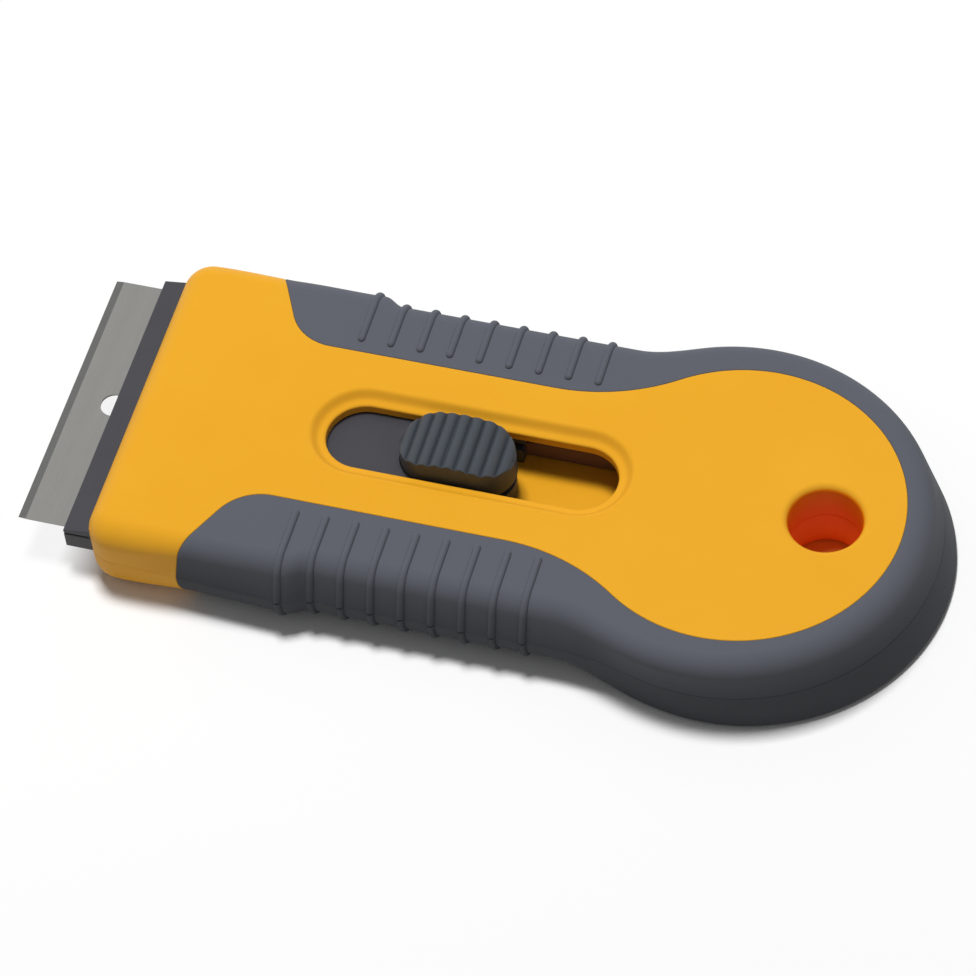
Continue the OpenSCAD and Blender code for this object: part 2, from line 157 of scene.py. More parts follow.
def keepPiece(name, meshes, mats, body, node, sharp=38):
    bm = bmesh.new()
    for m in meshes:
        bm.from_mesh(m)
        bpy.data.meshes.remove(m)
    obj = bmObject(bm, name)
    for mat in mats:
        obj.data.materials.append(mat)
    obj.data.shade_smooth()
    obj.data.set_sharp_from_angle(angle=math.radians(sharp))
    weigh = obj.modifiers.new("normals", "WEIGHTED_NORMAL")
    weigh.keep_sharp = True
    mesh = bakeObject(obj)
    mesh.name = name
    piece = newObject(name, mesh)
    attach(piece, body)
    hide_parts(node)
    print("piece", name, len(mesh.polygons), "faces")
    return piece


# Node groups and materials

def newGroup(name, inputs, outputs, treeKind="ShaderNodeTree"):
    tree = bpy.data.node_groups.new(name, treeKind)
    for label, kind, value in inputs:
        sock = tree.interface.new_socket(label, in_out="INPUT", socket_type="NodeSocket" + kind)
        if value is not None:
            sock.default_value = value
    for label, kind in outputs:
        tree.interface.new_socket(label, in_out="OUTPUT", socket_type="NodeSocket" + kind)
    return tree, tree.nodes.new("NodeGroupInput"), tree.nodes.new("NodeGroupOutput")


def newNode(tree, kind, **values):
    # node whose inputs are set to values or linked to sockets
    node = tree.nodes.new(kind)
    for label, value in values.items():
        if isinstance(value, bpy.types.NodeSocket):
            tree.links.new(value, node.inputs[label])
        else:
            node.inputs[label].default_value = value
    return node


def noiseNode(tree, vector, scale, detail, rough=0.5):
    node = newNode(tree, "ShaderNodeTexNoise", Vector=vector, Scale=scale, Detail=detail, Roughness=rough)
    return node.outputs["Fac"]


def rangeNode(tree, value, low, high, toLow, toHigh):
    limits = {"From Min": low, "From Max": high, "To Min": toLow, "To Max": toHigh}
    return newNode(tree, "ShaderNodeMapRange", Value=value, **limits).outputs["Result"]


def mathNode(tree, operation, a, b):
    node = tree.nodes.new("ShaderNodeMath")
    node.operation = operation
    tree.links.new(a, node.inputs[0])
    tree.links.new(b, node.inputs[1])
    return node.outputs[0]


def mixColor(tree, factor, a, b):
    node = tree.nodes.new("ShaderNodeMix")
    node.data_type = "RGBA"
    tree.links.new(factor, node.inputs["Factor"])
    for socket, color in ((node.inputs[6], a), (node.inputs[7], b)):  # the two colour sockets
        if isinstance(color, tuple):
            socket.default_value = color
        else:
            tree.links.new(color, socket)
    return node.outputs[2]


def mixShader(tree, factor, a, b):
    node = tree.nodes.new("ShaderNodeMixShader")
    for socket, source in zip(node.inputs, (factor, a, b)):
        tree.links.new(source, socket)
    return node.outputs[0]


skinOutputs = [("Height", "Float"), ("Tone", "Float"), ("Roughness", "Float")]
mould = {"fineDetail": 3.0, "slowDetail": 4.0, "slowRough": 0.6, "tone": (0.3, 0.7), "gloss": (0.25, 0.75)}
grind = {"detail": 5.0, "rough": 0.65, "tone": (0.25, 0.75),
         "stainScale": 0.05, "stainDetail": 3.0, "stain": (0.3, 0.7), "roughness": (0.34, 0.46)}


def mouldGroup():
    # fine spark texture of a mould, with slow drift of tone and gloss across the piece
    inputs = [("Vector", "Vector", None), ("Grain", "Float", 5000.0), ("Drift", "Float", 60.0),
              ("Gloss", "Float", 0.45), ("Spread", "Float", 0.08)]
    tree, inp, out = newGroup("mouldedSkin", inputs, skinOutputs)
    fine = noiseNode(tree, inp.outputs["Vector"], inp.outputs["Grain"], mould["fineDetail"])
    slow = noiseNode(tree, inp.outputs["Vector"], inp.outputs["Drift"], mould["slowDetail"], mould["slowRough"])
    tree.links.new(fine, out.inputs["Height"])
    tree.links.new(rangeNode(tree, slow, *mould["tone"], 0.0, 1.0), out.inputs["Tone"])
    low = mathNode(tree, "SUBTRACT", inp.outputs["Gloss"], inp.outputs["Spread"])
    high = mathNode(tree, "ADD", inp.outputs["Gloss"], inp.outputs["Spread"])
    tree.links.new(rangeNode(tree, slow, *mould["gloss"], low, high), out.inputs["Roughness"])
    return tree


def grindGroup():
    # fine parallel lines of a ground steel face
    inputs = [("Vector", "Vector", None), ("Lines", "Float", 1.0)]
    tree, inp, out = newGroup("groundSteel", inputs, skinOutputs)
    lines = noiseNode(tree, inp.outputs["Vector"], inp.outputs["Lines"], grind["detail"], grind["rough"])
    stain = noiseNode(tree, inp.outputs["Vector"], grind["stainScale"], grind["stainDetail"])
    tree.links.new(lines, out.inputs["Height"])
    tree.links.new(rangeNode(tree, lines, *grind["tone"], 0.0, 1.0), out.inputs["Tone"])
    tree.links.new(rangeNode(tree, stain, *grind["stain"], *grind["roughness"]), out.inputs["Roughness"])
    return tree


mouldedSkin = mouldGroup()
groundSteel = grindGroup()


def linear(rgb):
    # screen colour, 0 to 255, to the linear colour that a shader takes
    shares = [v / 255 for v in rgb]
    return tuple(c / 12.92 if c <= 0.04045 else ((c + 0.055) / 1.055) ** 2.4 for c in shares) + (1.0,)


def newMaterial(name, group, settings, colors, stretch=(1, 1, 1)):
    mat = bpy.data.materials.new(name)
    mat.use_nodes = True
    tree = mat.node_tree
    shader = tree.nodes["Principled BSDF"]
    place = tree.nodes.new("ShaderNodeTexCoord").outputs["Object"]
    mapping = newNode(tree, "ShaderNodeMapping", Vector=place, Scale=stretch)
    skin = tree.nodes.new("ShaderNodeGroup")
    skin.node_tree = group
    tree.links.new(mapping.outputs["Vector"], skin.inputs["Vector"])
    for label, value in settings["group"].items():
        skin.inputs[label].default_value = value
    base = mixColor(tree, skin.outputs["Tone"], linear(colors[0]), linear(colors[1]))
    if "paintedHeightShade" in settings:
        # painted light and shade: colour that changes with height between two levels, lighter where more light falls
        low, high, color = settings["paintedHeightShade"]
        height = newNode(tree, "ShaderNodeSeparateXYZ", Vector=place)
        share = rangeNode(tree, height.outputs["Z"], low * mm, high * mm, 0.0, 1.0)
        base = mixColor(tree, share, base, linear(color))
    tree.links.new(base, shader.inputs["Base Color"])
    tree.links.new(skin.outputs["Roughness"], shader.inputs["Roughness"])
    strength, distance = settings["bump"], settings["depth"] * mm
    bump = newNode(tree, "ShaderNodeBump", Height=skin.outputs["Height"], Strength=strength, Distance=distance)
    tree.links.new(bump.outputs["Normal"], shader.inputs["Normal"])
    shader.inputs["Metallic"].default_value = settings.get("metal", 0.0)
    shader.inputs["Specular IOR Level"].default_value = settings.get("specular", 0.5)
    return mat


finishes = {
    "shell": {"group": {"Grain": 3800.0, "Drift": 45.0, "Gloss": 0.5, "Spread": 0.05},
              "bump": 0.25, "depth": 0.03, "specular": 0.25},
    # painted shade: the grip is lighter towards its top face and darker down its sides
    "grip": {"group": {"Grain": 5200.0, "Drift": 70.0, "Gloss": 0.64, "Spread": 0.06},
             "bump": 0.5, "depth": 0.04, "specular": 0.12, "paintedHeightShade": (5.0, 10.5, (92, 95, 103))},
    "dark": {"group": {"Grain": 4200.0, "Drift": 80.0, "Gloss": 0.5, "Spread": 0.06},
             "bump": 0.35, "depth": 0.03, "specular": 0.3},
    "steel": {"group": {"Lines": 1.0}, "bump": 0.3, "depth": 0.01, "metal": 1.0},
}
# painted light: the wall of the hanging hole is a deeper orange, lighter towards the top, in place of light coming
# through the shell and of the shade down the hole
finishes["deep"] = dict(finishes["shell"], paintedHeightShade=(6.0, 11.0, (248, 152, 16)))


def plastic(name, finish, *colors):
    return newMaterial(name, mouldedSkin, finishes[finish], colors)


def steel(name, stretch, *colors):
    return newMaterial(name, groundSteel, finishes["steel"], colors, stretch)


yellowShell = plastic("yellowShell", "shell", (229, 164, 36), (233, 169, 42))
# painted light for the wall of the hanging hole
holeWallPaintedGlow = plastic("holeWallPaintedGlow", "deep", (246, 114, 3), (250, 120, 4))
softGrip = plastic("softGrip", "grip", (64, 66, 71), (70, 72, 77))
slidePlastic = plastic("slidePlastic", "dark", (60, 60, 65), (67, 67, 72))
# painted light: lighter warm brown for the inner sides of the carrier's legs
legPaintedBounce = plastic("legPaintedBounce", "dark", (112, 82, 76), (119, 88, 81))
buttonPlastic = plastic("buttonPlastic", "dark", (62, 67, 73), (69, 74, 80))
bladeSteel = steel("bladeSteel", (9000, 220, 9000), (143, 142, 139), (152, 151, 148))
bevelSteel = steel("bevelSteel", (220, 9000, 9000), (106, 106, 105), (118, 118, 117))
screwSteel = steel("screwSteel", (3000, 3000, 3000), (170, 170, 172), (188, 188, 190))
print("materials made")


# Handle: outline of one side from the tail forward, as a table along its length

handle = {
    "thick": 11.0, "length": 101.1, "tailR": 24.85, "flareR": 34.0, "edgeR": 5.0, "frontEdgeR": 3.2, "cornerR": 3.8,
    "upperEdgeR": 2.8, "upperLean": 0.36, "sideEdgeR": 2.8, "sideLean": 0.24,
    "tailEdgeR": 2.3, "tailFootR": 1.0, "tailSlope": 2.94, "tailDraft": 0.69,
    "frontHalf": 22.6, "shoulderOut": 1.05, "waistHalf": 22.5, "recessX": 27.5, "easeL": 2.6, "sideEdgeX": 15.3,
    "seam": 0.025, "tailSeam": 0.08,  # rounding at the joint between the halves
    "rimSteps": 12, "wallRows": (0.35, 0.7), "jointRows": ((0.0, 1.0), (0.3, 0.3), (1.0, 0.0)),
    "wall": 1.2,  # thickness of the shown skins
    "mouthHalf": 20.5, "mouthTop": 8.0, "mouthFloor": 3.5, "roof": 8.7,
    "cutX": 5.0, "cutZ": 10.0, "openX": 3.0,  # reach of the cuts for the mouth and of the faces they take out
    "chamberX": 25.05, "chamberHalf": 9.7, "neckX": 76.6,
    "linerX": 0.7, "linerWall": 0.4, "linerGap": 0.03,  # walls of the chamber, clear of the slot's own wall
}
# steps along each stretch of the outline, from the tail to the middle of the front
outlineSteps = {"tail": 300, "flare": 80, "waist": 60, "ease": 40, "side": 80, "corner": 60, "end": 20}
border = {
    "neckHalf": 11.95, "cornerR": 6.6, "cornerX": 21.9, "lean": 27.0, "flareR": 25.7, "bulbR": 20.4, "bulbX": 77.95,
    "groove": 0.14,  # rounding on each side of the line between shell and grip
    "grooveRows": (1.0, 0.6, 0.3, 0.1, 0.0),
    "wall": 1.5,  # how deep that line runs in
    "crossSteps": 600,  # fine places on the rim where that line may cross it
    "steps": (4, 14, 14, 18, 60),  # along its lead, corner, neck, flare and bulb
    "columns": 8,  # from the last fixed place on the rim to that line
}
slotHole = {"front": 25.15, "back": 62.55, "half": 4.75, "steps": 24}
hangHole = {"x": 88.7, "r": 4.6, "rim": 0.95, "footRim": 0.4, "break": 0.1, "rimSteps": 8,
            "rimRows": 6}  # rows of its rim in the shell's own colour
tailX = handle["length"] - handle["tailR"]


def spread(a, b, n):
    return [a + (b - a) * i / n for i in range(n + 1)]


def arcLine(cx, cy, r, a0, a1, n):
    return [(cx + r * math.cos(math.radians(a)), cy + r * math.sin(math.radians(a))) for a in spread(a0, a1, n)]


def eased(t):
    t = min(max(t, 0), 1)
    return t * t * (3 - 2 * t)


def between(a, b, t):
    return a + (b - a) * t


def outlineTable():
    # rows hold place, outward normal, rounding of the upper and lower edge,
    # lean of the upper wall and share of the tail's lean
    h, steps = handle, outlineSteps
    flareDx = math.sqrt((h["tailR"] + h["flareR"]) ** 2 - (h["waistHalf"] + h["flareR"]) ** 2)
    flareX, flareY = tailX - flareDx, h["waistHalf"] + h["flareR"]
    turn = math.degrees(math.atan2(flareDx, flareY))
    recess0, recess1 = h["recessX"] - h["easeL"] / 2, h["recessX"] + h["easeL"] / 2
    shoulderHalf = h["frontHalf"] + h["shoulderOut"]
    rows = []

    def add(x, y, n, top, low, lean=0.0):
        rows.append((x, y, n[0], n[1], top, low, lean, eased((x - flareX) / flareDx)))

    for a in spread(0, 90 + turn, steps["tail"]):
        n = (math.cos(math.radians(a)), math.sin(math.radians(a)))
        add(tailX + h["tailR"] * n[0], h["tailR"] * n[1], n, h["tailEdgeR"], h["tailFootR"])
    for t in spread(0, 1, steps["flare"])[1:]:
        a = math.radians(turn * (1 - t))
        n = (-math.sin(a), math.cos(a))
        top, low = between(h["tailEdgeR"], h["upperEdgeR"], eased(t)), between(h["tailFootR"], h["edgeR"], eased(t))
        add(flareX - h["flareR"] * n[0], flareY - h["flareR"] * n[1], n, top, low, h["upperLean"] * eased(t))
    for x in spread(flareX, recess1, steps["waist"])[1:]:
        add(x, h["waistHalf"], (0, 1), h["upperEdgeR"], h["edgeR"], h["upperLean"])
    for x in spread(recess1, recess0, steps["ease"])[1:]:
        share = (1 + math.cos(math.pi * ((x - recess0) / h["easeL"]))) / 2
        add(x, between(h["waistHalf"], shoulderHalf, share), (0, 1), h["upperEdgeR"], h["edgeR"], h["upperLean"])
    for x in spread(recess0, h["cornerR"], steps["side"])[1:]:
        y = h["frontHalf"] + h["shoulderOut"] * (x - h["cornerR"]) / (recess0 - h["cornerR"])
        if x > h["sideEdgeX"]:
            t = eased((x - h["sideEdgeX"]) / (recess0 - h["sideEdgeX"]))
            top, low = between(h["sideEdgeR"], h["upperEdgeR"], t), h["edgeR"]
            lean = between(h["sideLean"], h["upperLean"], t)
        else:
            t = eased((x - h["cornerR"]) / (h["sideEdgeX"] - h["cornerR"]))
            top, low = between(h["frontEdgeR"], h["sideEdgeR"], t), between(h["frontEdgeR"], h["edgeR"], t)
            lean = h["sideLean"] * t
        add(x, y, (0, 1), top, low, lean)
    endY = h["frontHalf"] - h["cornerR"]
    for a in spread(90, 180, steps["corner"])[1:]:
        n = (math.cos(math.radians(a)), math.sin(math.radians(a)))
        add(h["cornerR"] * (1 + n[0]), endY + h["cornerR"] * n[1], n, h["frontEdgeR"], h["frontEdgeR"])
    for y in spread(endY, 0, steps["end"])[1:]:
        add(0, y, (-1, 0), h["frontEdgeR"], h["frontEdgeR"])
    table = np.array(rows)
    step = np.hypot(np.diff(table[:, 0]), np.diff(table[:, 1]))
    along = np.concatenate([[0], np.cumsum(step)])
    marks, last = {"start": along[0]}, 0
    for name, count in steps.items():
        last += count
        marks[name] = along[last]
    return table, along, marks


outline, outlineU, marks = outlineTable()
# rows of the rounded edge, from the flat face to the joint:
# share of the rounding's turn, or share of the wall, or inset and height in the joint's own rounding
rimRows = [("round", t) for t in spread(0, 1, handle["rimSteps"])] + [("wall", t) for t in handle["wallRows"]]
rimRows += [("joint", inset, up) for inset, up in handle["jointRows"]]
halfZ = handle["thick"] / 2


def rimPlace(us, row, upper):
    x, y, nx, ny, topR, lowR, wallLean, lean = (np.interp(us, outlineU, column) for column in outline.T)
    r = topR if upper else lowR
    slope = wallLean if upper else np.zeros_like(x)
    tilt = np.arctan(slope)
    middle = handle["thick"] - r
    inset0 = (middle - halfZ) * slope + r / np.cos(tilt)
    seam = between(handle["seam"], handle["tailSeam"], lean)
    if row[0] == "joint":
        inset, z, up = row[1] * seam, halfZ + row[2] * seam, np.zeros_like(x)
    else:
        up = np.pi / 2 - (np.pi / 2 - tilt) * (row[1] if row[0] == "round" else 1.0)
        inset, z = inset0 - r * np.cos(up), middle + r * np.sin(up)
        if row[0] == "wall":
            inset, z = inset * (1 - row[1]), z + (halfZ + seam - z) * row[1]
    normal = np.stack([nx * np.cos(up), ny * np.cos(up), np.sin(up)], -1)
    # the lower half is built upside down and turned over later, so its lean grows with z
    lean = lean * ((1 - z / handle["thick"]) if upper else z / handle["thick"])
    out = lean * handle["tailDraft"] - inset
    return np.stack([x + out * nx + lean * handle["tailSlope"], y + out * ny, z], -1), normal


leadNormal = np.array([math.cos(math.radians(border["lean"])), math.sin(math.radians(border["lean"]))])
cornerY = border["neckHalf"] + border["cornerR"]
leadStart = np.array([border["cornerX"], cornerY]) - border["cornerR"] * leadNormal
crossU = np.linspace(marks["ease"], marks["side"], border["crossSteps"])


def crossing(row, s, upper):
    # where a row of the rim meets the line between shell and grip, moved s towards the grip
    place, _ = rimPlace(crossU, row, upper)
    away = (place[:, :2] - leadStart) @ leadNormal
    return float(np.interp(s, away[::-1], crossU[::-1]))


def borderLine(s, upper):
    # line between shell and grip, moved s towards the grip, from the rounded edge to the middle of the tail
    b = border
    lead, corner, neck, flare, bulb = b["steps"]
    first = rimPlace(np.array([crossing(rimRows[0], s, upper)]), rimRows[0], upper)[0][0][:2]
    start = leadStart + s * leadNormal
    sweepX = b["bulbX"] - math.sqrt((b["bulbR"] + b["flareR"]) ** 2 - (b["neckHalf"] + b["flareR"]) ** 2)
    sweepY = b["neckHalf"] + b["flareR"]
    turn = math.degrees(math.atan2(b["bulbX"] - sweepX, sweepY))
    line = [tuple(first + (start - first) * t) for t in spread(0, 1, lead)]
    line += arcLine(b["cornerX"], cornerY, b["cornerR"] - s, 180 + b["lean"], 270, corner)[1:]
    line += [(x, b["neckHalf"] + s) for x in spread(b["cornerX"], sweepX, neck)[1:-1]]
    line += arcLine(sweepX, sweepY, b["flareR"] - s, 270, 270 + turn, flare)
    line += arcLine(b["bulbX"], 0, b["bulbR"] + s, 90 + turn, 0, bulb)[1:]
    return line


def grooveSteps(side):
    # offset and depth of each row from the rim down into the groove
    g = border["groove"]
    steps = [(side * g * t, g - math.sqrt(g * g - (g - g * t) ** 2)) for t in border["grooveRows"]]
    return steps + [(0.0, border["wall"])]


def flipY(points):
    return [(p[0], -p[1]) + tuple(p[2:]) for p in points]


def columnsTo(row, fixed, limit, steps, upper):
    # points along one row of the rim up to the border, then down into the groove
    end = crossing(row, limit, upper)
    us = list(fixed) + [fixed[-1] + (end - fixed[-1]) * t for t in spread(0, 1, border["columns"])[1:]]
    place, _ = rimPlace(np.array(us), row, upper)
    points = [tuple(p) for p in place]
    for s, depth in steps[1:]:
        p, n = rimPlace(np.array([crossing(row, s, upper)]), row, upper)
        points.append(tuple(p[0] - depth * n[0]))
    return points


def stations(names, counts, past, extra):
    # places on the rim from mark to mark, then extra ones over a stretch past the last mark
    us = [marks[names[0]]]
    for a, b, count in zip(names, names[1:], counts):
        us += spread(marks[a], marks[b], count)[1:]
    last = marks[names[-1]]
    return us + spread(last, last + past, extra)[1:]


gripFixed = stations(("start", "tail", "flare", "waist", "ease"), counts=(46, 14, 16, 14), past=6, extra=4)
shellFixed = stations(("end", "corner", "side"), counts=(10, 16), past=-2, extra=2)


def slotLoop(s):
    r, n = slotHole["half"] + s, slotHole["steps"]
    return (arcLine(slotHole["back"] - slotHole["half"], 0, r, -90, 90, n)
            + arcLine(slotHole["front"] + slotHole["half"], 0, r, 90, 270, n))


def circleLoop(x, y, r, n=64):
    return arcLine(x, y, r, 0, 360, n)[:-1]


def atHeight(loop, z):
    return [(p[0], p[1], z) for p in loop]


# profiles as distance outwards and height, from the flat face inwards
lipProfile = [(2.2, 11.0), (2.05, 10.985), (1.88, 10.93), (1.72, 10.83), (1.55, 10.67),
              (1.38, 10.49), (1.2, 10.31), (1.02, 10.16), (0.82, 10.06), (0.55, 9.99),
              (0.3, 9.95), (0.14, 9.88), (0.04, 9.78), (0.0, 9.62), (0.0, 8.7)]
screwWells = {
    "xs": (65.975, 83.05), "y": 12.24, "steps": 40,
    "profile": [(2.75, 11.0), (2.62, 10.97), (2.52, 10.9), (2.46, 10.78), (2.45, 10.6), (2.45, 9.4),
                (1.25, 9.4), (1.25, 6.5)],
}


def holeProfile(rim):
    # rounded rim, straight wall and a small break at the joint
    turn = [math.radians(a) for a in spread(0, 90, hangHole["rimSteps"])]
    gap = hangHole["break"]
    return ([(rim * (1 - math.sin(a)), handle["thick"] - rim * (1 - math.cos(a))) for a in turn]
            + [(0.0, halfZ + gap), (gap * 0.5, halfZ + gap * 0.3), (gap, halfZ)])


def skinSheet(bm, side, fixed, upper):
    # rounded rim and groove on both sides of the handle; gives the two edges of the flat face between them
    steps = grooveSteps(side)
    rows = [columnsTo(row, fixed, side * border["groove"], steps, upper) for row in rimRows]
    lines = [atHeight(borderLine(s, upper), handle["thick"] - depth) for s, depth in steps]
    for flip in (list, flipY):
        addGrid(bm, [flip(r) for r in rows])
        addGrid(bm, [flip(line) for line in lines])
    ring = rows[0][:len(fixed) + border["columns"]]
    return [p[:2] for p in ring], [p[:2] for p in lines[0]]


def skinMesh(bm, name, upper):
    # turns the lower half over and gives the skin its wall
    if not upper:
        bmesh.ops.scale(bm, vec=(1, 1, -1), verts=bm.verts)
        bmesh.ops.translate(bm, vec=(0, 0, handle["thick"] * mm), verts=bm.verts)
        bmesh.ops.reverse_faces(bm, faces=bm.faces)
    return thickened(bm, name, handle["wall"])


def cutMouth(bm, upper):
    # opens the front face where the slide comes out
    h = handle
    half, top = h["mouthHalf"], h["mouthTop"] if upper else h["thick"] - h["mouthFloor"]

    def near(x, z):
        middles = [(f, f.calc_center_median()) for f in bm.faces]
        return [(f, c) for f, c in middles if c.x < (x + mouthX) * mm and c.z < z * mm]

    for co, no in (((0, half, 0), (0, 1, 0)), ((0, -half, 0), (0, 1, 0)), ((0, 0, top), (0, 0, 1))):
        faces = [f for f, _ in near(h["cutX"], h["cutZ"])]
        geom = faces + list({e for f in faces for e in f.edges}) + list({v for f in faces for v in f.verts})
        bmesh.ops.bisect_plane(bm, geom=geom, dist=tiny, plane_co=toFrame(co), plane_no=no)
    gone = [f for f, c in near(h["openX"], top) if abs(c.y) < half * mm]
    bmesh.ops.delete(bm, geom=gone, context="FACES")


def shellSkin(upper):
    bm = bmesh.new()
    ring, edge = skinSheet(bm, -1, shellFixed, upper)
    loops = [edge[:-1] + flipY(edge)[::-1] + flipY(ring)[::-1][1:] + ring[1:-1]]
    openings = []
    if upper:
        openings.append([atHeight(slotLoop(s), z) for s, z in lipProfile])
    else:
        wells, n = screwWells["profile"], screwWells["steps"]
        for x in screwWells["xs"]:
            for y in (-screwWells["y"], screwWells["y"]):
                openings.append([atHeight(circleLoop(x, y, r, n), z) for r, z in wells])
    for rows in openings:
        addGrid(bm, rows, closed=True)
        loops.append([p[:2] for p in rows[0]])
    profile = holeProfile(hangHole["rim" if upper else "footRim"])
    hole = [atHeight(circleLoop(hangHole["x"], 0, hangHole["r"] + s), z) for s, z in profile]
    addGrid(bm, hole[:hangHole["rimRows"]], closed=True)
    # below its rim the wall of the hole takes the painted light material
    addGrid(bm, hole[hangHole["rimRows"] - 1:], closed=True, mat=1)
    loops.append([p[:2] for p in hole[0]])
    fillFlat(bm, loops, handle["thick"])
    mergeAndFace(bm, (handle["thick"], 1))
    cutMouth(bm, upper)
    return skinMesh(bm, "shellSkin", upper)


def shellLiner(upper):
    h = handle
    half, neck = h["mouthHalf"], h["chamberHalf"]
    loop = [(h["linerX"], -half), (h["chamberX"], -half), (h["chamberX"], -neck), (h["neckX"], -neck)]
    loop += flipY(loop)[::-1]
    level = h["roof"] if upper else h["mouthFloor"]
    bm = bmesh.new()
    addGrid(bm, [atHeight(loop, halfZ), atHeight(loop, level)])
    fillFlat(bm, [loop, slotLoop(h["linerGap"])] if upper else [loop], level)
    mergeAndFace(bm, (level, -1 if upper else 1))
    return thickened(bm, "shellLiner", h["linerWall"])


def gripSkin(upper):
    bm = bmesh.new()
    ring, edge = skinSheet(bm, 1, gripFixed, upper)
    loop = ring[::-1] + flipY(ring)[1:] + flipY(edge)[1:] + edge[::-1][1:-1]
    fillFlat(bm, [loop], handle["thick"])
    mergeAndFace(bm, (handle["thick"], 1))
    return skinMesh(bm, "gripSkin", upper)


# Ribs: one path over the rounded edge, swept and repeated by Geometry Nodes

ribs = {
    "count": 9, "pitch": 3.86, "firstX": 25.5, "innerY": 13.9, "radius": 0.5, "sink": 0.05, "shoulderHalf": 23.61,
    "lowEnd": 0.7, "sides": 14, "arcSteps": 14, "flatSteps": 3,
    "taper": (0.0, 0.06, 0.2, 0.45, 0.75, 1.0), "tip": 0.02,  # rounded end, in shares of the radius
    "lowTaper": (0.0, 0.2, 0.5),  # its places on the lower half, in shares of one step of the arc
}
geoOutputs = [("Geometry", "Geometry")]


def ribTree():
    inputs = [("Geometry", "Geometry", None), ("Count", "Int", None), ("Pitch", "Float", None),
              ("Radius", "Float", None), ("Material", "Material", None)]
    tree, inp, out = newGroup("ribRow", inputs, geoOutputs, "GeometryNodeTree")
    given = inp.outputs
    curve = newNode(tree, "GeometryNodeMeshToCurve", Mesh=given["Geometry"])
    taper = tree.nodes.new("GeometryNodeInputNamedAttribute")
    taper.data_type = "FLOAT"
    taper.inputs["Name"].default_value = "ribTaper"
    ring = newNode(tree, "GeometryNodeCurvePrimitiveCircle", Resolution=ribs["sides"], Radius=given["Radius"])
    sweep = newNode(tree, "GeometryNodeCurveToMesh", Curve=curve.outputs["Curve"], Scale=taper.outputs["Attribute"])
    sweep.inputs["Fill Caps"].default_value = True
    tree.links.new(ring.outputs["Curve"], sweep.inputs["Profile Curve"])
    step = newNode(tree, "ShaderNodeCombineXYZ", X=given["Pitch"])
    places = newNode(tree, "GeometryNodeMeshLine", Count=given["Count"], Offset=step.outputs["Vector"])
    copies = newNode(tree, "GeometryNodeInstanceOnPoints", Points=places.outputs["Mesh"],
                     Instance=sweep.outputs["Mesh"])
    real = newNode(tree, "GeometryNodeRealizeInstances", Geometry=copies.outputs["Instances"])
    other = newNode(tree, "GeometryNodeTransform", Geometry=real.outputs["Geometry"], Scale=(1, -1, 1))
    turned = newNode(tree, "GeometryNodeFlipFaces", Mesh=other.outputs["Geometry"])
    both = newNode(tree, "GeometryNodeJoinGeometry", Geometry=real.outputs["Geometry"])
    tree.links.new(turned.outputs["Mesh"], both.inputs["Geometry"])
    paint = newNode(tree, "GeometryNodeSetMaterial", Geometry=both.outputs["Geometry"], Material=given["Material"])
    tree.links.new(paint.outputs["Geometry"], out.inputs["Geometry"])
    return tree


def setInputs(modifier, values):
    for item in modifier.node_group.interface.items_tree:
        if item.item_type == "SOCKET" and item.in_out == "INPUT" and item.name in values:
            modifier[item.identifier] = values[item.name]


ribRow = ribTree()


def ribPath(half, upper):
    # line of one rib in y and z, with the share of the radius at each point
    sink, top = ribs["sink"], handle["thick"]
    r, slope = (handle["upperEdgeR"], handle["upperLean"]) if upper else (handle["edgeR"], 0.0)
    tilt = math.atan(slope)
    inset = (top - r - halfZ) * slope + r / math.cos(tilt)
    taper = [max(math.sqrt(1 - (1 - t) ** 2), ribs["tip"]) for t in ribs["taper"]]
    arcYZ = arcLine(half - inset, top - r, r - sink, 90, math.degrees(tilt), ribs["arcSteps"])
    if upper:
        points = [(ribs["innerY"] - ribs["radius"] + ribs["radius"] * t, top - sink) for t in ribs["taper"]]
        points += [(y, top - sink) for y in spread(ribs["innerY"], half - inset, ribs["flatSteps"])[1:-1]]
        scales = taper
    else:
        arcYZ = [p for p in arcYZ if p[1] < top - ribs["lowEnd"]]
        (y0, z0), (y1, z1) = arcYZ[:2]
        points = [(between(y0, y1, t), between(z0, z1, t)) for t in ribs["lowTaper"]]
        scales = taper[1:len(points) + 1]
        arcYZ = arcYZ[1:]
    points += arcYZ + [(half - sink, halfZ)]
    scales += [1.0] * (len(points) - len(scales))
    if not upper:
        points = [(y, top - z) for y, z in points]
    return points, scales


def ribMesh(half, upper, firstX, count):
    points, scales = ribPath(half, upper)
    mesh = bpy.data.meshes.new("ribPath")
    mesh.from_pydata([toFrame((firstX, y, z)) for y, z in points], [(i, i + 1) for i in range(len(points) - 1)], [])
    mesh.attributes.new("ribTaper", "FLOAT", "POINT").data.foreach_set("value", scales)
    obj = newObject("ribPath", mesh)
    row = obj.modifiers.new("ribs", "NODES")
    row.node_group = ribRow
    setInputs(row, {"Count": count, "Pitch": ribs["pitch"] * mm, "Radius": ribs["radius"] * mm, "Material": softGrip})
    return bakeObject(obj)


def shellMeshes(upper):
    return [shellSkin(upper), shellLiner(upper)]


def gripMeshes(upper):
    meshes = [gripSkin(upper), ribMesh(ribs["shoulderHalf"], upper, ribs["firstX"], 1),
              ribMesh(handle["waistHalf"], upper, ribs["firstX"] + ribs["pitch"], ribs["count"] - 1)]
    for m in meshes:
        m.materials.clear()
    return meshes


shellColors = [yellowShell, holeWallPaintedGlow]
keepPiece("upperShell", shellMeshes(True), shellColors, "handle", "upper_shell")
keepPiece("upperGrip", gripMeshes(True), [softGrip], "handle", "upper_grip")
keepPiece("lowerShell", shellMeshes(False), shellColors, "handle", "lower_shell")
keepPiece("lowerGrip", gripMeshes(False), [softGrip], "handle", "lower_grip")
print("handle made")


# Slide: carrier, clamp plate and blade

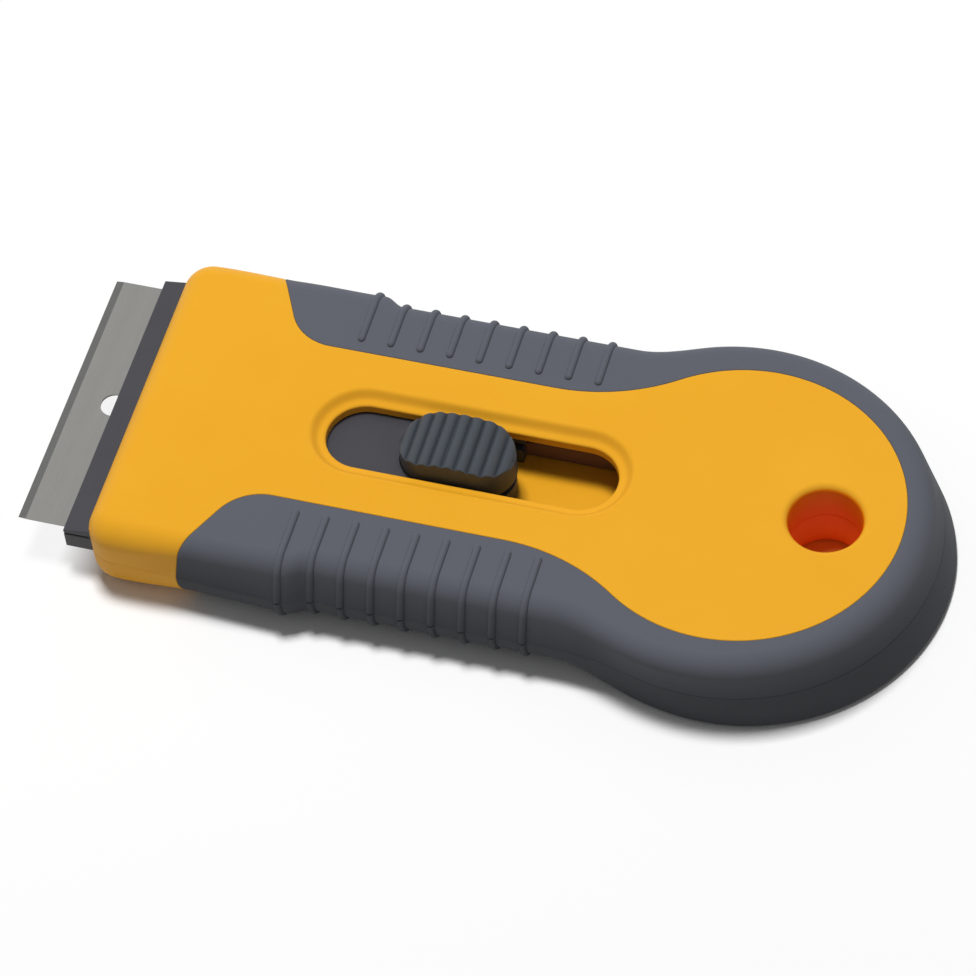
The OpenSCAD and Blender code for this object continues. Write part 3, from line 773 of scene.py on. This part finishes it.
slide = {
    "jawOut": 3.3, "jawEnd": 12.0, "jawHalf": 20.3, "jawZ": 3.7, "seatZ": 6.2,
    "clampZ": 6.45, "clampTop": 7.75, "nose": 0.5, "slope": 5.0, "foldAngle": 8,
    "backX": 9.4, "deckX": 12.05, "deckZ": 8.5, "half": 9.5, "legX": 63.55,
    "pocket": (34.45, 49.75, 7.6), "gap": (48.8, 6.3), "seat": (38.9, 4.3, 4.95), "seatEnd": 45.3,
    "edgeX": -9.6, "bevel": 1.0, "bladeHalf": 19.25, "hole": (-3.5, 1.7),
    "room": 0.05,  # between the blade and what stops it
    "heelUp": 0.3, "bedIn": 1.3, "bedTrim": 0.3, "deckSink": 0.6,  # where bars start inside each other
    "stud": (1.3, 14.0, 0.8),  # behind the blade, off the middle, radius
    "round": 0.15, "fineRound": 0.08, "studRound": 0.12, "arcSteps": 14, "studSteps": 28, "holeSteps": 48,
    "lap": 0.03,  # step between bars that run into each other, so that no two faces share a plane
    # the faces near the gap between the legs take the painted bounce light colour
    "paintedBounceBand": 0.2,  # faces this near to the gap between the legs are their inner sides
}


def box(x0, x1, y0, y1):
    return [(x0, y0), (x1, y0), (x1, y1), (x0, y1)]


def prismMesh(name, loop, z0, z1, width):
    bm = bmesh.new()
    for z in (z0, z1):
        fillFlat(bm, [loop], z)
    addGrid(bm, [atHeight(loop, z0), atHeight(loop, z1)], closed=True)
    mergeAndFace(bm)
    return rounded(bm, name, width)


def carrierMeshes():
    s = slide
    px0, px1, pocketHalf = s["pocket"]
    gapX, gapHalf = s["gap"]
    seatX, seatR, seatHalf = s["seat"]
    lap, low, heelHalf = s["lap"], s["jawZ"] + s["heelUp"], s["jawHalf"] - s["lap"]
    jaw = box(-s["jawOut"], s["jawEnd"], -s["jawHalf"], s["jawHalf"])
    heel = box(s["backX"] + s["room"], s["jawEnd"] - lap, -heelHalf, heelHalf)
    meshes = [prismMesh("jaw", jaw, s["jawZ"], s["seatZ"], s["round"]),
              prismMesh("heel", heel, low, s["clampZ"], s["round"])]
    for side in (-1, 1):
        y0, y1 = sorted((side * (s["bladeHalf"] + s["room"]), side * (heelHalf - lap)))
        cheek = box(0, s["jawEnd"] - 2 * lap, y0, y1)
        meshes.append(prismMesh("cheek", cheek, low, s["clampZ"] - lap, s["fineRound"]))
    bed = [(s["jawEnd"] - s["bedIn"], -s["half"]), (s["legX"], -s["half"]), (s["legX"], -gapHalf),
           (gapX, -gapHalf), (gapX, -seatHalf), (s["seatEnd"], -seatHalf)]
    bed += arcLine(s["seatEnd"], 0, seatR - s["bedTrim"], -90, -1, s["arcSteps"])
    meshes.append(prismMesh("bed", bed + flipY(bed)[::-1], s["jawZ"] + lap, s["seatZ"] - lap, s["round"]))
    deckHalf, legEnd, legIn = s["half"] - lap, s["legX"] - lap, gapHalf + lap
    deck = [(s["deckX"], -deckHalf), (legEnd, -deckHalf), (legEnd, -legIn), (px1, -legIn), (px1, -pocketHalf),
            (px0, -pocketHalf), (px0, -seatHalf), (seatX, -seatHalf)]
    deck += arcLine(seatX, 0, seatR, 270, 181, s["arcSteps"])
    meshes.append(prismMesh("deck", deck + flipY(deck)[::-1], s["seatZ"] - s["deckSink"], s["deckZ"], s["fineRound"]))
    behind, off, studR = s["stud"]
    for side in (-1, 1):
        stud = circleLoop(s["backX"] + behind, side * off, studR, s["studSteps"])
        meshes.append(prismMesh("stud", stud, s["seatZ"], s["clampTop"] - lap, s["studRound"]))
    # painted light: the inner sides of the legs take a lighter warm brown, in place of light bounced from the shell
    # around them
    for mesh in meshes:
        for face in mesh.polygons:
            away = abs(abs(face.center.y) - gapHalf * mm)
            if face.center.x > (gapX + mouthX) * mm and away < s["paintedBounceBand"] * mm:
                face.material_index = 1
    return meshes


def clampMesh():
    s = slide
    profile = [(-s["jawOut"], s["clampZ"]), (s["jawEnd"], s["clampZ"]), (s["jawEnd"], s["clampTop"]),
               (s["slope"] - s["jawOut"], s["clampTop"]), (-s["jawOut"], s["clampZ"] + s["nose"])]
    ends = [[(x, y, z) for x, z in profile] for y in (-s["jawHalf"], s["jawHalf"])]
    bm = bmesh.new()
    addGrid(bm, ends, closed=True)
    for end in ends:
        addFace(bm, end)
    mergeAndFace(bm)
    return rounded(bm, "clamp", s["round"], angle=s["foldAngle"])


def bladeMesh():
    s = slide
    low, high, half = s["seatZ"], s["clampZ"], s["bladeHalf"]
    x0, (holeX, holeR) = s["edgeX"] + s["bevel"], s["hole"]
    loop, hole = box(x0, s["backX"], -half, half), circleLoop(holeX, 0, holeR, s["holeSteps"])
    bm = bmesh.new()
    for z in (low, high):
        fillFlat(bm, [loop, hole], z)
    addGrid(bm, [atHeight(hole, low), atHeight(hole, high)], closed=True)
    addGrid(bm, [atHeight(loop, low), atHeight(loop, high)])
    bevel = [(x0, high), (s["edgeX"], (low + high) / 2), (x0, low)]
    addGrid(bm, [[(x, -half, z), (x, half, z)] for x, z in bevel], mat=1)
    for side in (-half, half):
        addFace(bm, [(x, side, z) for x, z in bevel[::-1]])
    mergeAndFace(bm)
    return bmMesh(bm, "blade")


keepPiece("bladeCarrier", carrierMeshes(), [slidePlastic, legPaintedBounce], "slide", "blade_carrier")
keepPiece("bladeClamp", [clampMesh()], [slidePlastic], "slide", "blade_clamp", 60)
keepPiece("razorBlade", [bladeMesh()], [bladeSteel, bevelSteel], "slide", "razor_blade", 2)
print("slide made")


# Thumb button: domed bar with wave ridges across it

button = {
    "x": 34.7, "length": 14.8, "width": 8.4, "crown": 12.69, "drop": 1.7, "round": 0.3, "roundSteps": 5,
    "pitch": 1.64, "wave": 0.6, "waveSharp": 1.3,
    "soft": 0.6,  # how far the rounding goes down, and how far the ridges fade in it
    "straightSteps": 100, "endSteps": 60, "endTurn": 89,
    "topBand": 0.1, "skirt": 0.6,  # rows of the wall below the top edge and above the flange
    "flangeZ": 7.5, "flangeT": 1.0, "flangeHalf": 7.35, "flangeIn": 0.25, "flangeOut": 0.3,
    "flangeRound": 0.08, "flangeSteps": 12,
    "flangeLap": 0.04, "flangeLift": 0.02,  # steps that keep the flange off the faces of the bar
}


def buttonMeshes():
    b = button
    half, end = b["width"] / 2, b["length"] / 2
    mid, straight = b["x"] + end, end - half
    crownR = (end ** 2 + b["drop"] ** 2) / (2 * b["drop"])

    def pillHalf(x, inset):
        # half width of the bar's outline at x from its middle, shrunk by inset
        r, over = half - inset, max(abs(x) - straight, 0)
        return math.sqrt(max(r * r - over * over, 0))

    def topDrops(x):
        # how far the dome and the ridges lie below the crown at x from the middle
        valley = 1 - abs(math.cos(math.pi * x / b["pitch"]))
        return crownR - math.sqrt(crownR ** 2 - x * x), b["wave"] * valley ** b["waveSharp"]

    turn = [math.radians(a) for a in spread(90, 0, b["roundSteps"])]
    rim = [(b["round"] * (1 - math.cos(a)), b["round"] * (1 - math.sin(a))) for a in turn]
    xs = spread(-straight, straight, b["straightSteps"])
    for a in spread(0, b["endTurn"], b["endSteps"]):
        x = straight + half * math.sin(math.radians(a))
        xs += [-x, x]
    rows = []
    for x in sorted({round(x, 4) for x in xs}):
        t = x / end
        column = []
        for inset, drop in rim:
            scaled = t * (end - inset)
            dome, wave = topDrops(scaled)
            z = b["crown"] - dome - wave * (1 - b["soft"] * drop / b["round"]) - drop * b["soft"]
            column.append((mid + scaled, pillHalf(scaled, inset), z))
        levels = (column[-1][2] - b["topBand"], b["flangeZ"] + b["flangeT"] + b["skirt"], b["flangeZ"])
        wall = [(mid + t * end, pillHalf(t * end, 0), z) for z in levels]
        x0, y0, z0 = column[0]
        side = [(x0, 0.0, z0), (x0, y0 / 2, z0)] + column + wall
        rows.append(flipY(side)[::-1] + side[1:])
    bm = bmesh.new()
    addGrid(bm, rows)
    fillFlat(bm, [[row[-1][:2] for row in rows] + [row[0][:2] for row in rows[::-1]]], b["flangeZ"])
    for row in (rows[0], rows[-1]):
        addFace(bm, row)
    mergeAndFace(bm)
    wide, farX, arcX = slotHole["half"] + b["flangeOut"], mid + end - b["flangeIn"], mid + end - half
    plate = [(mid, -b["flangeHalf"]), (farX, -b["flangeHalf"]), (farX, -wide), (arcX, -wide)]
    plate += arcLine(arcX, 0, half - b["flangeLap"], -90, 0, b["flangeSteps"])[:-1]
    plate += flipY(plate)[::-1]
    plate += [(2 * mid - x, y) for x, y in plate[::-1]][1:-1]
    low, high = b["flangeZ"] + b["flangeLift"], b["flangeZ"] + b["flangeT"]
    return [bmMesh(bm, "button"), prismMesh("flange", plate, low, high, b["flangeRound"])]


keepPiece("thumbButton", buttonMeshes(), [buttonPlastic], "button", "thumb_button", 45)
print("button made")


# Screws: one cross-recess screw set in its four places by Geometry Nodes

screws = {
    "head": 2.2, "round": 0.3, "roundSteps": 5, "low": 0.3, "seat": 1.6, "shank": 1.0, "tip": 7.5,
    "point": 0.6, "pointR": 0.25, "arm": 1.35, "armWidth": 0.33, "recess": 0.75, "recessTaper": 0.8, "steps": 40,
    "turn": 0.6,  # from one screw to the next, in radians
}


def screwMaster():
    s = screws
    bm = bmesh.new()
    a, w, deep = s["arm"], s["armWidth"], s["low"] + s["recess"]
    cross = [(a, -w), (a, w), (w, w)]
    for _ in range(3):
        cross += [(-y, x) for x, y in cross[-3:]]
    bottom = [(x * s["recessTaper"], y * s["recessTaper"]) for x, y in cross]
    fillFlat(bm, [circleLoop(0, 0, s["head"] - s["round"], s["steps"]), cross], s["low"])
    addGrid(bm, [atHeight(cross, s["low"]), atHeight(bottom, deep)], closed=True)
    fillFlat(bm, [bottom], deep)
    turn = [math.radians(t) for t in spread(0, 90, s["roundSteps"])]
    profile = [(s["head"] - s["round"] * (1 - math.sin(t)), s["low"] + s["round"] * (1 - math.cos(t))) for t in turn]
    profile += [(s["head"], s["seat"]), (s["shank"], s["seat"]), (s["shank"], s["tip"] - s["point"]),
                (s["pointR"], s["tip"])]
    addGrid(bm, [atHeight(circleLoop(0, 0, r, s["steps"]), z) for r, z in profile], closed=True)
    fillFlat(bm, [circleLoop(0, 0, s["pointR"], s["steps"])], s["tip"])
    bmesh.ops.translate(bm, vec=(-mouthX * mm, 0, 0), verts=bm.verts)
    mergeAndFace(bm)
    return bmObject(bm, "screwMaster")


def screwTree():
    inputs = [("Geometry", "Geometry", None), ("Screw", "Object", None),
              ("Turn", "Float", None), ("Material", "Material", None)]
    tree, inp, out = newGroup("screwPlaces", inputs, geoOutputs, "GeometryNodeTree")
    given = inp.outputs
    info = newNode(tree, "GeometryNodeObjectInfo", Object=given["Screw"])
    index = tree.nodes.new("GeometryNodeInputIndex")
    turn = mathNode(tree, "MULTIPLY", index.outputs["Index"], given["Turn"])
    spin = newNode(tree, "ShaderNodeCombineXYZ", Z=turn)
    place = newNode(tree, "GeometryNodeInstanceOnPoints", Points=given["Geometry"],
                    Instance=info.outputs["Geometry"], Rotation=spin.outputs["Vector"])
    real = newNode(tree, "GeometryNodeRealizeInstances", Geometry=place.outputs["Instances"])
    paint = newNode(tree, "GeometryNodeSetMaterial", Geometry=real.outputs["Geometry"], Material=given["Material"])
    tree.links.new(paint.outputs["Geometry"], out.inputs["Geometry"])
    return tree


def screwMesh():
    master = screwMaster()
    mesh = bpy.data.meshes.new("screwPoints")
    mesh.from_pydata([toFrame((x, side * screwWells["y"], 0)) for x in screwWells["xs"] for side in (-1, 1)], [], [])
    obj = newObject("screwPoints", mesh)
    places = obj.modifiers.new("screws", "NODES")
    places.node_group = screwTree()
    setInputs(places, {"Screw": master, "Turn": screws["turn"], "Material": screwSteel})
    mesh = bakeObject(obj)
    mesh.materials.clear()
    bpy.data.objects.remove(master)
    return mesh


keepPiece("shellScrews", [screwMesh()], [screwSteel], "handle", "shell_screws")
print("screws made")


# Spring under the button: a bowed strip, built at rest; the real one flattens as the button goes down

spring = {"x": 42.1, "length": 11.0, "width": 5.0, "strip": 0.25, "low": 6.2, "bow": 1.0, "keep": 0.2,
          "steps": 32, "round": 0.05}


def springMesh():
    s = spring
    half, side = s["length"] / 2, s["width"] / 2
    r = (half ** 2 + s["bow"] ** 2) / (2 * s["bow"])
    section = ((-side, 0), (side, 0), (side, s["strip"]), (-side, s["strip"]))
    rows = []
    for x in spread(-half, half, s["steps"]):
        z = s["low"] + math.sqrt(r * r - x * x) - r + s["bow"]
        rows.append([(s["x"] + x, y, z + up) for y, up in section])
    bm = bmesh.new()
    addGrid(bm, rows, closed=True)
    for row in (rows[0], rows[-1]):
        addFace(bm, row)
    mergeAndFace(bm)
    return rounded(bm, "spring", s["round"])


springPiece = keepPiece("buttonSpring", [springMesh()], [screwSteel], "slide", "button_spring")
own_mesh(springPiece)
print("spring made")


# Stage, light and camera

stage = {
    "size": 4.0, "floor": (0.97, 0.97, 0.97, 1), "bounce": (0.72, 0.7, 0.66, 1), "world": 0.18,
    "key": 8.2, "keyAt": (-0.12, 0.19, 0.93), "keySize": 0.22,
    # painted light: orange floor colour under the hanging hole
    "paintedHoleGlow": (0.8, 0.36, 0.07, 1), "paintedHoleGlowFade": 1.2,
    # painted light ahead of the blade over its shadow, then the white floor far from the part
    "paintedLightFrom": -0.046, "paintedLightTo": -0.0525, "paintedLightShare": 0.88, "paleFrom": 0.06, "paleTo": 0.16,
}


def cameraRay(tree):
    # 1 for rays that the camera sees straight, mirrored or through something
    path = tree.nodes.new("ShaderNodeLightPath")
    bent = mathNode(tree, "MAXIMUM", path.outputs["Is Glossy Ray"], path.outputs["Is Transmission Ray"])
    return mathNode(tree, "MAXIMUM", path.outputs["Is Camera Ray"], bent)


def makeFloor():
    half = stage["size"] / 2
    mesh = bpy.data.meshes.new("floor")
    mesh.from_pydata([(-half, -half, 0), (half, -half, 0), (half, half, 0), (-half, half, 0)], [], [(0, 1, 2, 3)])
    floor = newObject("floor", mesh)
    mat = bpy.data.materials.new("paleFloor")
    mat.use_nodes = True
    tree = mat.node_tree
    tree.nodes.remove(tree.nodes["Principled BSDF"])
    paint = tree.nodes.new("ShaderNodeBsdfDiffuse")
    place = tree.nodes.new("ShaderNodeTexCoord").outputs["Object"]
    # painted light: the floor under the hanging hole is orange, in place of light that comes through the shell
    reach = tree.nodes.new("ShaderNodeVectorMath")
    reach.operation = "DISTANCE"
    tree.links.new(place, reach.inputs[0])
    reach.inputs[1].default_value = toFrame((hangHole["x"], 0, 0))
    holeR = (hangHole["r"] + hangHole["footRim"]) * mm
    paintedGlowShare = rangeNode(tree, reach.outputs["Value"], holeR, holeR * stage["paintedHoleGlowFade"], 1.0, 0.0)
    paintedGlowColor = mixColor(tree, paintedGlowShare, stage["floor"], stage["paintedHoleGlow"])
    tree.links.new(mixColor(tree, cameraRay(tree), stage["bounce"], paintedGlowColor), paint.inputs["Color"])
    # painted light: paler ahead of the blade, which lifts the blade's shadow there; and white far away from the part
    along = newNode(tree, "ShaderNodeSeparateXYZ", Vector=place)
    ahead = rangeNode(tree, along.outputs["X"], stage["paintedLightFrom"], stage["paintedLightTo"], 0.0, stage["paintedLightShare"])
    wide = tree.nodes.new("ShaderNodeVectorMath")
    wide.operation = "LENGTH"
    tree.links.new(place, wide.inputs[0])
    far = rangeNode(tree, wide.outputs["Value"], stage["paleFrom"], stage["paleTo"], 0.0, 1.0)
    share = mathNode(tree, "MULTIPLY", mathNode(tree, "MAXIMUM", ahead, far), cameraRay(tree))
    glow = tree.nodes.new("ShaderNodeEmission")
    surface = mixShader(tree, share, paint.outputs[0], glow.outputs[0])
    tree.links.new(surface, tree.nodes["Material Output"].inputs["Surface"])
    mesh.materials.append(mat)


def makeWorld():
    world = bpy.data.worlds.new("studio")
    scene.world = world
    world.use_nodes = True
    tree = world.node_tree
    back, seen = tree.nodes["Background"], tree.nodes.new("ShaderNodeBackground")
    for node, strength in ((back, stage["world"]), (seen, 1.0)):
        node.inputs["Color"].default_value = (1, 1, 1, 1)
        node.inputs["Strength"].default_value = strength
    surface = mixShader(tree, cameraRay(tree), back.outputs[0], seen.outputs[0])
    tree.links.new(surface, tree.nodes["World Output"].inputs["Surface"])


def makeLight():
    data = bpy.data.lights.new("key", "AREA")
    data.size = stage["keySize"]
    data.energy = stage["key"]
    light = newObject("key", data)
    light.location = stage["keyAt"]
    light.visible_glossy = False
    light.rotation_euler = (-Vector(stage["keyAt"])).to_track_quat("-Z", "Y").to_euler()


makeFloor()
makeWorld()
makeLight()

view = {"azimuth": -21.199, "elevation": 53.467, "roll": -6.513, "focal": 4639.45, "frame": 976, "distance": 571.4,
        "aimPixel": (488.99, 454.95), "aimPoint": (-1.224, 0.0, 11.0), "sensor": 36.0, "clip": (0.01, 10)}


def makeCamera():
    az, el, roll = (math.radians(view[k]) for k in ("azimuth", "elevation", "roll"))

    def turned(a):
        return Matrix(((math.cos(a), -math.sin(a), 0), (math.sin(a), math.cos(a), 0), (0, 0, 1)))

    tip = Matrix(((1, 0, 0), (0, -math.sin(el), -math.cos(el)), (0, math.cos(el), -math.sin(el))))
    right, down, ahead = turned(roll) @ tip @ turned(az)
    middle, perPixel = view["frame"] / 2, view["distance"] / view["focal"]
    offset = Vector([(p - middle) * perPixel for p in view["aimPixel"]] + [view["distance"]])
    place = (Vector(view["aimPoint"]) - (right * offset.x + down * offset.y + ahead * offset.z)) * mm
    data = bpy.data.cameras.new("camera")
    data.sensor_width = view["sensor"]
    data.lens = view["focal"] / view["frame"] * view["sensor"]
    data.clip_start, data.clip_end = view["clip"]
    camera = newObject("camera", data)
    camera.matrix_world = Matrix(((right.x, -down.x, -ahead.x, place.x), (right.y, -down.y, -ahead.y, place.y),
                                  (right.z, -down.z, -ahead.z, place.z), (0, 0, 0, 1)))
    scene.camera = camera


makeCamera()
scene.view_settings.view_transform = "Standard"
print("stage made")
